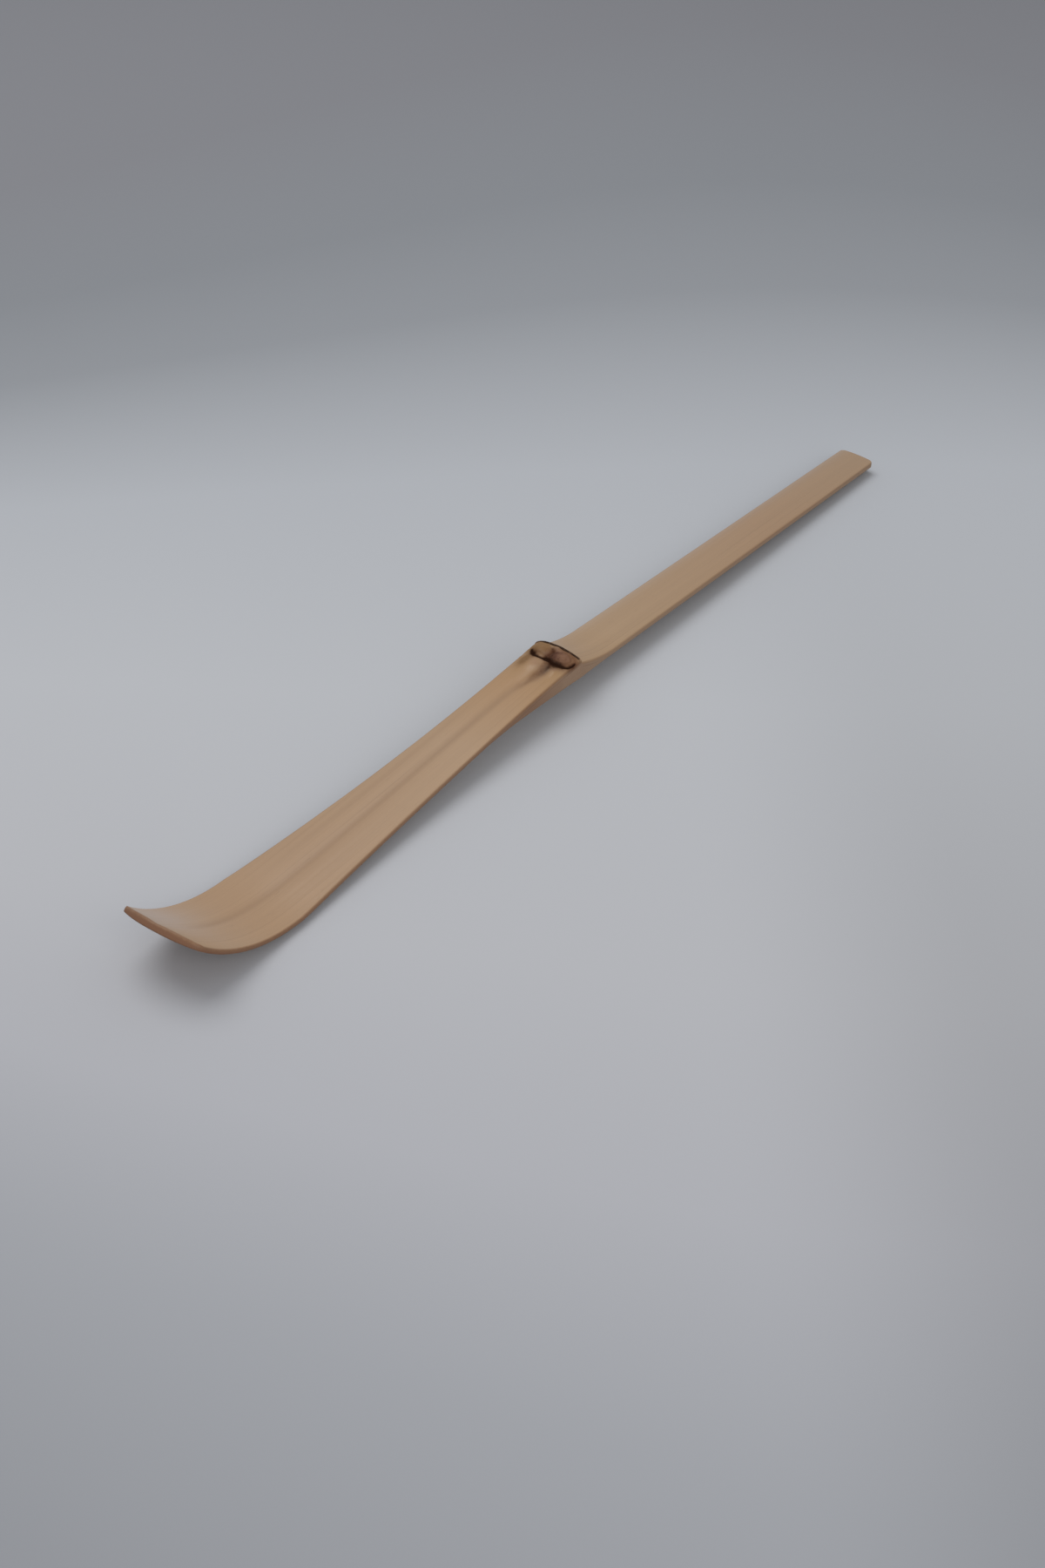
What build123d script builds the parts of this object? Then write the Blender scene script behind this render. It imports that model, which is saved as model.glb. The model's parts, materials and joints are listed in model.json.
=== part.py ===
from build123d import *
from math import asin, atan2, cos, degrees, exp, hypot, radians, sin, tan
import os

# A bamboo tea scoop carved from one piece of culm: two lengths of culm wall and the node between.
# It is drawn with the butt's top edge at the origin, the handle along X and the tip towards -X.
# Then it is tilted until it lies on its butt and its belly, and centred over the floor.

# Lengths along the top edges, in millimetres, and turns in degrees
handle_length = 98.0        # butt cut to sheath rim
blade_length = 64.4         # sheath rim to the start of the tip's bend
bend_radius = 21.8          # the heat-bent tip, at its top edges
bend_turn = 51.7
blade_turn = 3.8            # the blade curls up by this much before the bend
node_kink = 7.8             # the blade falls away from the handle's line by this much
node_step = 2.5             # height of the rim above the handle's top edges

# Widths
butt_width = 7.3
handle_node_width = 7.9
blade_node_width = 8.0
bend_width = 13.0
tip_width = 11.8
blade_spread = 1.15         # 0 widens the blade evenly, 1 as a parabola
tip_taper = 3.0             # higher keeps the bend's full width and thickness nearer to the end
tip_round = 1.65            # the tip's corners stand back from its middle by this much
tip_corner = 0.8            # radius of those corners
butt_slant = 1.5            # the butt's cut reaches this much further back on the left than on the right
butt_corner = 0.9           # radius of that cut's corners

# Thickness, measured down from the top edges
handle_thickness = 2.2
handle_edge = 0.9
blade_thickness = 1.3
tip_thickness = 1.0         # at the tip's end, where the middle is thinned most
blade_edge = 0.7
root_softness = 0.8         # rounds the corner where the handle's underside meets the blade's
handle_flat = 4.6           # width of the whittled flat under the handle
blade_flat = 6.2            # width of the whittled flat under the belly
skin_thickness = 0.35

# Top face across the strip
handle_crown = 0.22
blade_crown = 0.3
tip_crown = 0.05
crown_power = 2.5           # 2 is a round crown, more is flatter in the middle
groove_width = 2.4
groove_depth = 0.34         # beside the bud
groove_tip_depth = 0.1
groove_head = 3.0           # length of the groove's sloping start

# Node
node_crown = 0.75           # crown at the rim
node_drop = 0.55            # the rim's ends hang below the top edges' line by this much
node_swell = 0.3            # extra width at the rim
node_fade = 4.0             # these three fade out over about this length
flare_length = 10.0         # the handle's top sweeps up to the rim over this length
node_band = 5.0             # the node's bare band, from the rim to the blade's skin
rim_width = 0.55
rim_height = 0.6
rim_proud = 0.2             # part of that height that stands above the band
bud_length = 2.8
bud_width = 3.4
bud_height = 1.1
bud_sink = 0.15             # its middle lies this far under the band's top
bud_off_centre = 1.6        # towards -Y
bud_from_rim = 2.2

# Reach of the cutting tools past what they cut
spare = 2.0

# Number of sections in each smooth stretch
flare_steps = 6
blade_steps = 12
blade_crowding = 1.4        # above 1 sets the blade's sections closer together near the node
bend_steps = 6

kink = radians(node_kink)
blade_arc = radians(blade_turn)
bend_arc = radians(bend_turn)
blade_radius = blade_length / blade_arc
bend_length = bend_radius * bend_arc
front_length = blade_length + bend_length
flare_rise = node_step + rim_proud - rim_height
flare_radius = (flare_length ** 2 + flare_rise ** 2) / (2 * flare_rise)


def eased(rise, softness):
    """The larger of rise and zero, with the corner between them rounded."""
    if abs(rise) >= softness:
        return max(rise, 0)
    return (rise + softness) ** 2 / (4 * softness)


def between(start, end, share):
    return start + (end - start) * share


def node_share(distance):
    """How much of the node's own shape is left at a distance from the rim."""
    return exp(-distance / node_fade)


def station(x, z, angle):
    """A plane square to the strip, where it climbs to the tip at this angle.
    Its own x runs along +Y and its own y points out of the top face."""
    return Plane(origin=(x, 0, z), x_dir=(0, 1, 0), z_dir=(cos(angle), 0, -sin(angle)))


def blade_point(along):
    """X, Z and climb of the blade's top edges, at a length in front of the rim."""
    angle = -kink + blade_arc * min(along / blade_length, 1)
    x = -handle_length - blade_radius * (sin(angle) + sin(kink))
    z = node_step - blade_radius * (cos(angle) - cos(kink))
    turned = angle + max(along - blade_length, 0) / bend_radius
    x -= bend_radius * (sin(turned) - sin(angle))
    z -= bend_radius * (cos(turned) - cos(angle))
    return x, z, turned


def blade_shape(along):
    """Sizes of the strip's section in front of the rim."""
    share = min(along / blade_length, 1)
    past = max(along - blade_length, 0) / bend_length
    spread = blade_spread * share ** 2 + (1 - blade_spread) * share
    taper = (tip_width - bend_width) * past ** tip_taper
    thinned = between(blade_thickness, tip_thickness, past ** tip_taper)
    to_tip = along / front_length
    knuckle = node_share(along)
    head = min(max((along - node_band) / groove_head, 0), 1)
    fall = node_step - along * tan(kink)
    return {
        "width": between(blade_node_width, bend_width, spread) + taper + node_swell * knuckle,
        "crown": between(between(blade_crown, tip_crown, to_tip), node_crown, knuckle),
        "drop": node_drop * knuckle,
        "groove": between(groove_depth, groove_tip_depth, to_tip) * head,
        "edge": blade_edge + eased(handle_edge - blade_edge + fall, root_softness),
        "thickness": thinned + eased(handle_thickness - blade_thickness + fall, root_softness),
        "flat": between(handle_flat, blade_flat, share),
    }


def handle_rise(behind):
    """Height of the handle's top edges over their straight line, at a length behind the rim."""
    run = max(flare_length - behind, 0)
    return flare_radius - (flare_radius ** 2 - run ** 2) ** 0.5


def handle_shape(behind):
    """Sizes of the strip's section behind the rim."""
    rise = handle_rise(behind)
    knuckle = node_share(max(behind, 0))
    return {
        "width": between(handle_node_width, butt_width, behind / handle_length) + node_swell * knuckle,
        "crown": between(handle_crown, node_crown, knuckle),
        "drop": node_drop * knuckle,
        "groove": 0,
        "edge": handle_edge + rise,
        "thickness": handle_thickness + rise,
        "flat": handle_flat,
    }


def top_height(shape, y):
    """Height of the crowned top face over the top edges' line, without the groove."""
    share = abs(2 * y / shape["width"]) ** crown_power
    return between(shape["crown"], -shape["drop"], share)


def top_line(shape, height=0):
    """The top face across the strip: two crowned lobes with the groove between them."""
    half = shape["width"] / 2
    lip = groove_width / 2
    middle = (half + lip) / 2
    end_z, middle_z, lip_z = [height + top_height(shape, y) for y in (half, middle, lip)]
    left = ThreePointArc((-half, end_z), (-middle, middle_z), (-lip, lip_z))
    bottom_z = height + shape["crown"] - shape["groove"]
    groove = ThreePointArc((-lip, lip_z), (0, bottom_z), (lip, lip_z))
    right = ThreePointArc((lip, lip_z), (middle, middle_z), (half, end_z))
    return left + groove + right


def strip_section(shape):
    """Crowned top, square edges, and an underside whittled to a flat with two bevels."""
    half = shape["width"] / 2
    flat = shape["flat"] / 2
    under = Polyline(
        (half, -shape["drop"]),
        (half, -shape["edge"]),
        (flat, -shape["thickness"]),
        (-flat, -shape["thickness"]),
        (-half, -shape["edge"]),
        (-half, -shape["drop"]),
    )
    return make_face(top_line(shape) + under)


def cover_section(shape, depth):
    """All that lies above a line at this depth under the top face, and wider than the strip."""
    half = shape["width"] / 2
    side = half + spare
    low = -shape["drop"] - depth
    over = Polyline(
        (half, low),
        (side, low),
        (side, spare),
        (-side, spare),
        (-side, low),
        (-half, low),
    )
    return make_face(top_line(shape, -depth) + over)


def skin_section(shape):
    return cover_section(shape, skin_thickness)


def rim_seat_section(shape):
    return cover_section(shape, rim_height - rim_proud)


def rim_section(shape):
    """An arched bar across the strip, sunk in the top face and standing proud of it."""
    half = shape["width"] / 2
    low = rim_proud - rim_height
    high_end = rim_proud - shape["drop"]
    low_end = low - shape["drop"]
    right = Line((half, high_end), (half, low_end))
    left = Line((-half, low_end), (-half, high_end))
    return make_face(top_line(shape, rim_proud) + right + top_line(shape, low) + left)


def handle_section(section, behind):
    return station(behind - handle_length, handle_rise(behind), 0) * section(handle_shape(behind))


def blade_section(section, along):
    """The section at the rim stands square to the handle, and the others square to the blade."""
    x, z, angle = blade_point(along)
    if along == 0:
        angle = 0
    return station(x, z, angle) * section(blade_shape(along))


def handle_loft(section, past_rim=0):
    """The handle: a straight length from past the butt's cut, then the sweep up to the rim."""
    sweep = flare_length + past_rim
    places = [flare_length - sweep * i / flare_steps for i in range(flare_steps + 1)]
    ends = [handle_length + butt_slant + spare, flare_length]
    straight = loft([handle_section(section, s) for s in ends], ruled=True)
    return straight + loft([handle_section(section, s) for s in places])


def butt_outline():
    """What is kept of the handle, seen from above: a slanting cut with rounded corners."""
    half = butt_width / 2
    lean = butt_slant / 2
    side = handle_node_width / 2 + spare
    outline = Polyline(
        (lean, half),
        (-lean, -half),
        (-handle_length, -side),
        (-handle_length, side),
        close=True,
    )
    corners = make_face(outline).vertices().sort_by(Axis.X)[-2:]
    return fillet(corners, butt_corner)


def cut_handle():
    return handle_loft(strip_section) & extrude(butt_outline(), amount=handle_length, both=True)


def blade_loft(section):
    """The node, blade and bend, drawn past the end of the tip."""
    bend = bend_length + spare
    places = [blade_length * (i / blade_steps) ** blade_crowding for i in range(blade_steps + 1)]
    places += [blade_length + bend * (i + 1) / bend_steps for i in range(bend_steps)]
    return loft([blade_section(section, s) for s in places])


def tip_outline():
    """What is kept of the blade's front: a shallow arc, square to the top face, with rounded corners."""
    x, z, angle = blade_point(front_length)
    face_up = Plane(origin=(x, 0, z), x_dir=(0, 1, 0), z_dir=(sin(angle), 0, cos(angle)))
    half = tip_width / 2
    side = half + spare
    shoulder = -tip_round - half
    end = ThreePointArc((-half, -tip_round), (0, 0), (half, -tip_round))
    rest = Polyline(
        (half, -tip_round),
        (side, shoulder),
        (side, -front_length),
        (-side, -front_length),
        (-side, shoulder),
        (-half, -tip_round),
    )
    outline = make_face(end + rest)
    corners = outline.vertices().sort_by(Axis.Y)[-2:]
    return face_up * fillet(corners, tip_corner)


def cut_blade():
    return blade_loft(strip_section) & extrude(tip_outline(), amount=front_length, both=True)


def rim_loft(section):
    """A short length of the strip in front of the rim's back face."""
    return loft([blade_section(section, s) for s in (0, rim_width)], ruled=True)


def make_bud():
    x, z, angle = blade_point(bud_from_rim)
    seat = top_height(blade_shape(bud_from_rim), bud_off_centre) - bud_sink
    egg = scale(Sphere(1), by=(bud_width / 2, bud_height / 2, bud_length / 2))
    return station(x, z, angle) * Pos(-bud_off_centre, seat, 0) * egg


def rest_tilt():
    """Turn about Y that brings the butt's lowest corner and the bend's round belly to one level."""
    x, z, angle = blade_point(blade_length)
    heel = butt_slant * handle_flat / butt_width / 2
    belly_x = x + bend_radius * sin(angle) - heel
    belly_z = z + bend_radius * cos(angle)
    reach = hypot(belly_x, belly_z + handle_thickness)
    dip = asin((bend_radius + blade_thickness) / reach)
    return degrees(dip - atan2(belly_z + handle_thickness, -belly_x))


handle = cut_handle()
handle_cover = handle_loft(skin_section, spare)
front = cut_blade()
front_cover = blade_loft(skin_section)
band_front = station(*blade_point(node_band))
node = split(front, bisect_by=band_front, keep=Keep.TOP)
blade = split(front, bisect_by=band_front, keep=Keep.BOTTOM)
bud = make_bud()

pieces = {
    "handle_flesh": handle - handle_cover,
    "handle_skin": handle & handle_cover,
    "node_wall": node - rim_loft(rim_seat_section) - bud,
    "sheath_rim": rim_loft(rim_section),
    "bud_knot": bud,
    "blade_flesh": blade - front_cover,
    "blade_skin": blade & front_cover,
}

lying = {name: Rot(0, rest_tilt(), 0) * piece for name, piece in pieces.items()}
box = Compound(children=[Part(piece.solids()) for piece in lying.values()]).bounding_box()
to_floor = Pos(-box.center().X, -box.center().Y, -box.min.Z)

os.makedirs("parts", exist_ok=True)
for name, piece in lying.items():
    export_step(to_floor * piece, f"parts/{name}.step")
    print(name, len(piece.solids()), round(piece.volume, 2), piece.is_valid)
print("tilt", rest_tilt(), "box", box.size)
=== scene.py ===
import json
import bpy
import numpy as np
from mathutils import Matrix, Vector


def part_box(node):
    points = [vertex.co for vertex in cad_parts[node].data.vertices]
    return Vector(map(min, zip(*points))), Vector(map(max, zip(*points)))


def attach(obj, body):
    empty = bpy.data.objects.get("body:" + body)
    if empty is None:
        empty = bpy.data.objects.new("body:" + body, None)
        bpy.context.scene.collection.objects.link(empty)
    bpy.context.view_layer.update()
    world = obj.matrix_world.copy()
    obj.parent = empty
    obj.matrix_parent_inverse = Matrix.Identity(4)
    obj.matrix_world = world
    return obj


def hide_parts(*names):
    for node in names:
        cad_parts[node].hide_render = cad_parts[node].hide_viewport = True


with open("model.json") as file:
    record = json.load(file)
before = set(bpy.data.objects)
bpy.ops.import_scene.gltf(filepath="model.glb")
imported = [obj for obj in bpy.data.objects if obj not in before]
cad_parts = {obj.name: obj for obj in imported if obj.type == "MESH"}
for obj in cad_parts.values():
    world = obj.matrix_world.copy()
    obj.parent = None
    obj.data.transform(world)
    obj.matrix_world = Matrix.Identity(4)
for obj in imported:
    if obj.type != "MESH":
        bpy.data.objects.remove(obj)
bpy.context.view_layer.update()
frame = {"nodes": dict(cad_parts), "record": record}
mm = 0.001
print("frame loaded with", len(frame["nodes"]), "nodes")

# the strip of bamboo, in millimetres and degrees; s is the length from the sheath rim, + towards the tip
strip = dict(
    handleLength=98.0, bladeLength=64.4,                # butt to rim, and rim to the start of the bend
    bendRadius=21.8, bendTurn=51.7, bendSoftness=4.0,   # the tip's bend, and how gently it starts
    bladeTurn=3.8, nodeKink=7.8, nodeStep=2.5,          # the blade's own curl, the break of line at the rim
    leanIn=2.5,                                         # sections take up the blade's lean over this length
    flareLength=10.0, flareRise=2.1,                    # the handle's sweep up to the rim
    buttSlant=1.5, buttCorner=0.9, buttWidth=7.3, handleNodeWidth=7.9,
    bladeNodeWidth=8.0, bendWidth=13.0, tipWidth=11.8,
    bladeSpread=1.15, tipTaper=3.0,                     # spread 0 widens the blade evenly, 1 as a parabola
    tipRound=1.65, tipLeftRound=1.25, tipCorner=0.8, tipLeftCorner=0.4,
    shearFrom=66.0,                                     # from here on the rows lean to the tip's outline
    handleThickness=2.2, handleEdge=0.9, bladeThickness=1.3, tipThickness=1.0, bladeEdge=0.7,
    rootSoftness=0.8,                                   # rounds the corner where the two undersides meet
    handleFlat=4.6, bladeFlat=6.2, facetSoftness=0.45, tipFacetSoftness=2.4, skin=0.35,
    handleCrown=0.22, bladeCrown=0.3, tipCrown=0.05, crownPower=2.5,
    nodeCrown=0.62, nodeDrop=0.3, nodeLeftPower=4.0, nodeRightPower=1.5,
    nodeSwell=0.3, nodeFade=4.0, nodeBand=5.0,
    edgeRound=0.27, underRound=0.16, nodeRound=0.28, nodeLeftRound=0.36)

kink, bladeArc, bendArc = np.radians([strip["nodeKink"], strip["bladeTurn"], strip["bendTurn"]])
bendLength = strip["bendRadius"] * bendArc
frontLength = strip["bladeLength"] + bendLength
flareRadius = (strip["flareLength"] ** 2 + strip["flareRise"] ** 2) / (2 * strip["flareRise"])


# start at share zero, end at share one
def mixed(start, end, share):
    return start + (end - start) * share


# zero below low, one above high, an S curve between
def smooth(low, high, x):
    share = np.clip((x - low) / (high - low), 0, 1)
    return share * share * (3 - 2 * share)


# the larger of rise and zero, with the corner between them rounded by a parabola
def eased(rise, softness):
    return np.where(np.abs(rise) >= softness, np.maximum(rise, 0), (rise + softness) ** 2 / (4 * softness))


# one at zero, falling off both ways
def bell(x):
    return np.exp(-x ** 2)


# a bell over the plan, one at its middle
def hump(s, y, sMiddle, yMiddle, sSize, ySize):
    return np.exp(-((s - sMiddle) / sSize) ** 2 - ((y - yMiddle) / ySize) ** 2)


# sine waves in random directions added up, about -1 to 1
# a wave holds how tight they are along a, how tight along b, and the seed
def ripple(a, b, wave, count=7, slowest=0.6, fastest=1.5):
    tightA, tightB, seed = wave
    draw = np.random.default_rng(seed)
    turn, phase = draw.uniform(0, 2 * np.pi, (2, count))
    pace = draw.uniform(slowest, fastest, count)
    a, b = np.broadcast_arrays(a * tightA, b * tightB)
    angle = np.multiply.outer(a, pace * np.cos(turn)) + np.multiply.outer(b, pace * np.sin(turn)) + phase
    return np.sin(angle).sum(-1) / np.sqrt(count)


# how far an edge is worn down: a quarter circle over the last stretch before the edge
def worn(reach):
    return 1 - np.sqrt(1 - np.clip(reach, 0, 1) ** 2)


# height of the handle's top edges behind the rim: straight, then one arc up to the rim
def flare(s):
    run = np.clip(strip["flareLength"] + s, 0, strip["flareLength"])
    return flareRadius - np.sqrt(flareRadius ** 2 - run ** 2)


# climb of the top edges in front of the rim: a steady slow turn, then the bend's faster one, eased in
def climbAt(s):
    slow = -kink + bladeArc * np.minimum(s / strip["bladeLength"], 1)
    return slow + eased(s - strip["bladeLength"], strip["bendSoftness"]) / strip["bendRadius"]


# the line of the top edges in front of the rim: short steps along the climb, added up to just past the tip
pathStep, pathSpare = 0.02, 2.0
pathS = np.arange(0, frontLength + pathSpare, pathStep)
pathClimb = climbAt(pathS[:-1] + pathStep / 2)
pathX = -strip["handleLength"] - pathStep * np.append(0, np.cumsum(np.cos(pathClimb)))
pathZ = strip["nodeStep"] + pathStep * np.append(0, np.cumsum(np.sin(pathClimb)))


# x, z and lean of the section at s: straight behind the rim, along the path in front
def spine(s):
    behind = s < 0
    x = np.where(behind, -strip["handleLength"] - s, np.interp(s, pathS, pathX))
    z = np.where(behind, flare(s), np.interp(s, pathS, pathZ))
    return x, z, np.where(behind, 0, climbAt(s) * smooth(0, strip["leanIn"], s))


# how far the butt's cut reaches behind its middle, at a share v of the half width: a slant, less a quarter
# circle at each corner
def buttReach(v):
    corner = strip["buttCorner"]
    return strip["buttSlant"] / 2 * v - corner * worn(1 - strip["buttWidth"] / 2 * (1 - np.abs(v)) / corner)


# how the strip lies in the frame: its underside's normal gives the tilt, the skin's box gives the butt, and
# the flat's far corner lies on the floor
tilt = np.arcsin(-frame["record"]["mounts"][0]["axis"][0])
heel = strip["buttSlant"] * strip["handleFlat"] / strip["buttWidth"] / 2
buttShares = np.linspace(-1, 1, 400)
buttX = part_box("handle_skin")[1].x / mm - buttReach(buttShares).max() * np.cos(tilt)
buttZ = strip["handleThickness"] * np.cos(tilt) + heel * np.sin(tilt)


# a point at length s, offset y to the left and h out of the top face, in the frame's metres
def place(s, y, h):
    x, z, lean = spine(s)
    x = x + h * np.sin(lean)
    z = z + h * np.cos(lean)
    along = x * np.cos(tilt) + z * np.sin(tilt) + buttX
    up = -x * np.sin(tilt) + z * np.cos(tilt) + buttZ
    return np.stack(np.broadcast_arrays(along, y, up), -1) * mm


# one at the rim, fading both ways
def nearNode(s):
    return np.exp(-np.abs(s) / strip["nodeFade"])


# sizes of the section at s: the handle's and the blade's laws, with the node's swelling fading both ways
def section(s):
    share = np.clip(s / strip["bladeLength"], 0, 1)
    past = np.clip((s - strip["bladeLength"]) / bendLength, 0, 1)
    spread = strip["bladeSpread"] * share ** 2 + (1 - strip["bladeSpread"]) * share
    near = nearNode(s)
    front = s >= 0
    bladeWidth = mixed(strip["bladeNodeWidth"], strip["bendWidth"], spread)
    bladeWidth = bladeWidth + (strip["tipWidth"] - strip["bendWidth"]) * past ** strip["tipTaper"]
    handleWidth = mixed(strip["handleNodeWidth"], strip["buttWidth"], -s / strip["handleLength"])
    handleWidth = handleWidth + (strip["bladeNodeWidth"] - strip["handleNodeWidth"]) * near
    bladeCrown = mixed(strip["bladeCrown"], strip["tipCrown"], s / frontLength)
    crown = np.where(front, bladeCrown, strip["handleCrown"])
    fall = strip["nodeStep"] - s * np.tan(kink)
    edge = strip["bladeEdge"] + eased(strip["handleEdge"] - strip["bladeEdge"] + fall, strip["rootSoftness"])
    deep = strip["handleThickness"] - strip["bladeThickness"] + fall
    thinned = mixed(strip["bladeThickness"], strip["tipThickness"], past ** strip["tipTaper"])
    thickness = thinned + eased(deep, strip["rootSoftness"])
    return dict(
        half=(np.where(front, bladeWidth, handleWidth) + strip["nodeSwell"] * near) / 2,
        crown=mixed(crown, strip["nodeCrown"], near),
        drop=strip["nodeDrop"] * near,
        edge=np.where(front, edge, strip["handleEdge"] + flare(s)),
        thickness=np.where(front, thickness, strip["handleThickness"] + flare(s)),
        flat=np.where(front, mixed(strip["handleFlat"], strip["bladeFlat"], share), strip["handleFlat"]))


# the crowned top face without its groove and marks: flat in the middle, falling to the edges as a power; at
# the node it is squarer on the left and more of a slope on the right
def crownAt(s, y):
    size = section(s)
    nodePower = np.where(y > 0, strip["nodeLeftPower"], strip["nodeRightPower"])
    power = mixed(strip["crownPower"], nodePower, nearNode(s))
    return mixed(size["crown"], -size["drop"], np.minimum(np.abs(y / size["half"]), 1) ** power)


# the groove that starts in front of the bud scar and runs to the tip
groove = dict(
    depth=0.34, farDepth=0.075, fade=13.0, width=1.0, headFrom=4.2, headTo=6.6,
    headShift=-1.4, headMiddle=5.2, headReach=4.4, swing=0.24, swingLength=70.0)


# where the groove runs across the strip: beside the bud at first, then down the middle in one slow wave
def grooveLine(s):
    head = groove["headShift"] * bell((s - groove["headMiddle"]) / groove["headReach"])
    return head + groove["swing"] * np.sin(2 * np.pi * (s - groove["headFrom"]) / groove["swingLength"])


# a bell across the groove's line, deep at its head and fading to a trace
def grooveAt(s, y):
    near = np.exp(-np.maximum(s - groove["headTo"], 0) / groove["fade"])
    depth = mixed(groove["farDepth"], groove["depth"], near) * smooth(groove["headFrom"], groove["headTo"], s)
    return depth * bell((y - grooveLine(s)) / groove["width"])


# a brush stroke: a bell across the nearest stretch of a line of points (s, y, half width)
def stroke(s, y, points):
    best = np.zeros(np.broadcast(s, y).shape)
    for (s0, y0, w0), (s1, y1, w1) in zip(points, points[1:]):
        run, rise = s1 - s0, y1 - y0
        share = np.clip(((s - s0) * run + (y - y0) * rise) / (run ** 2 + rise ** 2), 0, 1)
        gap = np.hypot(s - s0 - share * run, y - y0 - share * rise)
        best = np.maximum(best, bell(gap / mixed(w0, w1, share)))
    return best


# the node's marks as strokes (s, y, half width), its lobes as bells (s, y, s size, y size), and waves
knuckle = dict(
    crease=[(2.2, 3.3, 0.16), (2.55, 2.95, 0.36), (2.95, 2.5, 0.52), (3.3, 2.0, 0.42), (3.45, 1.4, 0.25),
            (3.35, 0.75, 0.25), (3.15, 0.1, 0.42), (3.2, -0.6, 0.45), (3.5, -1.4, 0.52), (3.62, -2.1, 0.6),
            (3.5, -2.8, 0.56), (3.0, -3.4, 0.4), (2.2, -3.75, 0.26), (1.5, -3.9, 0.14)],
    valley=[(0.85, 0.6, 0.25), (1.2, 0.25, 0.42), (1.9, -0.15, 0.65), (2.6, -0.15, 0.7), (3.2, 0.05, 0.55)],
    fold=[(3.1, 2.4, 0.25), (2.5, 1.8, 0.2), (2.4, 1.0, 0.25), (2.7, 0.4, 0.3)],
    smear=[(3.8, -1.35, 0.55), (4.6, -1.5, 0.55), (5.4, -1.42, 0.62), (6.2, -1.25, 0.72), (8.0, -0.95, 0.75)],
    stain=[(4.2, -0.6, 0.55), (5.2, -0.75, 0.85), (6.2, -0.95, 0.85), (8.0, -0.85, 0.75), (10.0, -0.45, 0.6),
           (12.5, -0.1, 0.5)],
    creaseDepth=0.24, valleyDepth=0.16, foldDepth=0.04,
    wander=0.1, wanderAlong=(2.2, 2.6, 11), wanderAcross=(2.5, 2.0, 12),
    lobe=(1.6, 2.3, 1.0, 1.25), lobeHeight=0.2,
    frontLobes=[(5.2, 1.0, 1.3, 1.2), (5.2, -2.7, 1.3, 0.7)], frontLobeHeight=0.14,
    wrinkle=0.03, wrinkleWave=(4.5, 4.0, 13), wrinkleEnd=(3.8, 6.0),
    rimSeat=0.38, rimSeatEnd=(0.12, 0.34), rimLine=0.01, reach=20.0)

# tints over the plan, as bells (s, y, s size, y size, strength)
tints = dict(
    lobe=[(1.5, 2.3, 1.6, 1.8, 1.8)],
    russet=[(1.8, -1.9, 1.7, 2.4, 2.3)],
    umber=[(5.0, 2.7, 1.6, 0.8, 1.3), (0.7, -3.2, 0.7, 0.9, 0.5)],
    golden=[(6.4, 2.2, 2.4, 0.9, 1.0), (6.2, -3.0, 2.4, 0.8, 1.0)],
    # the pale tints are pinkish patches of the node's own tone, but the small one at s 4.7 is a painted
    # highlight
    pale=[(4.9, 0.9, 0.8, 0.8, 0.8), (4.7, -2.4, 0.4, 0.4, 1.0), (0.8, -0.7, 0.35, 0.7, 0.7)])


# the strokes waver a little, as if drawn on wavy paper
def marksAt(s, y):
    sDrift = s + knuckle["wander"] * ripple(s, y, knuckle["wanderAlong"])
    yDrift = y + knuckle["wander"] * ripple(s, y, knuckle["wanderAcross"])
    names = ("crease", "valley", "fold", "smear", "stain")
    return {name: stroke(sDrift, yDrift, knuckle[name]) for name in names}


# what the node adds to the top face: lobes up, crease, valley and fold down, a seat for the rim
def knuckleRelief(s, y):
    marks = marksAt(s, y)
    height = knuckle["lobeHeight"] * hump(s, y, *knuckle["lobe"])
    for lobe in knuckle["frontLobes"]:
        height = height + knuckle["frontLobeHeight"] * hump(s, y, *lobe)
    for name in ("crease", "valley", "fold"):
        height = height - knuckle[name + "Depth"] * marks[name]
    wrinkles = ripple(s, y, knuckle["wrinkleWave"]) * (1 - smooth(*knuckle["wrinkleEnd"], s))
    height = height + knuckle["wrinkle"] * wrinkles
    return height - knuckle["rimSeat"] * (1 - smooth(*knuckle["rimSeatEnd"], s))


# fine ridges of fibre along the strip, with slow waves of the hand that scraped it
ridges = dict(fibre=0.006, fibreWave=(0.12, 13, 21), scrape=0.012, scrapeWave=(0.16, 0.9, 22))


def fibreRelief(s, y):
    fibres = ridges["fibre"] * ripple(s, y, ridges["fibreWave"])
    return fibres + ridges["scrape"] * ripple(s, y, ridges["scrapeWave"])


# zero behind the rim, one just in front of it
def inFront(s):
    return smooth(0, knuckle["rimLine"], s)


# the top face: crown and fibres all along, and in front of the rim the node's relief and the groove
def topAt(s, y):
    relief = knuckleRelief(s, y) * (s < knuckle["reach"]) - grooveAt(s, y)
    return crownAt(s, y) + fibreRelief(s, y) + inFront(s) * relief


# the line between skin and flesh: the crown and the groove, one skin deeper
def seamAt(s, y):
    return crownAt(s, y) - inFront(s) * grooveAt(s, y) - strip["skin"]


# the knife's cuts under the strip: width, depth and wavering, where the bevels soften and the cuts end
whittling = dict(
    width=1.5, drift=0.5, driftWave=(1 / 16, 0.2, 31), depth=0.035, least=0.6, swing=0.4,
    depthWave=(1 / 7, 0.5, 32), softenAlong=(64, 78), endAlong=(72, 82))


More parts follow.
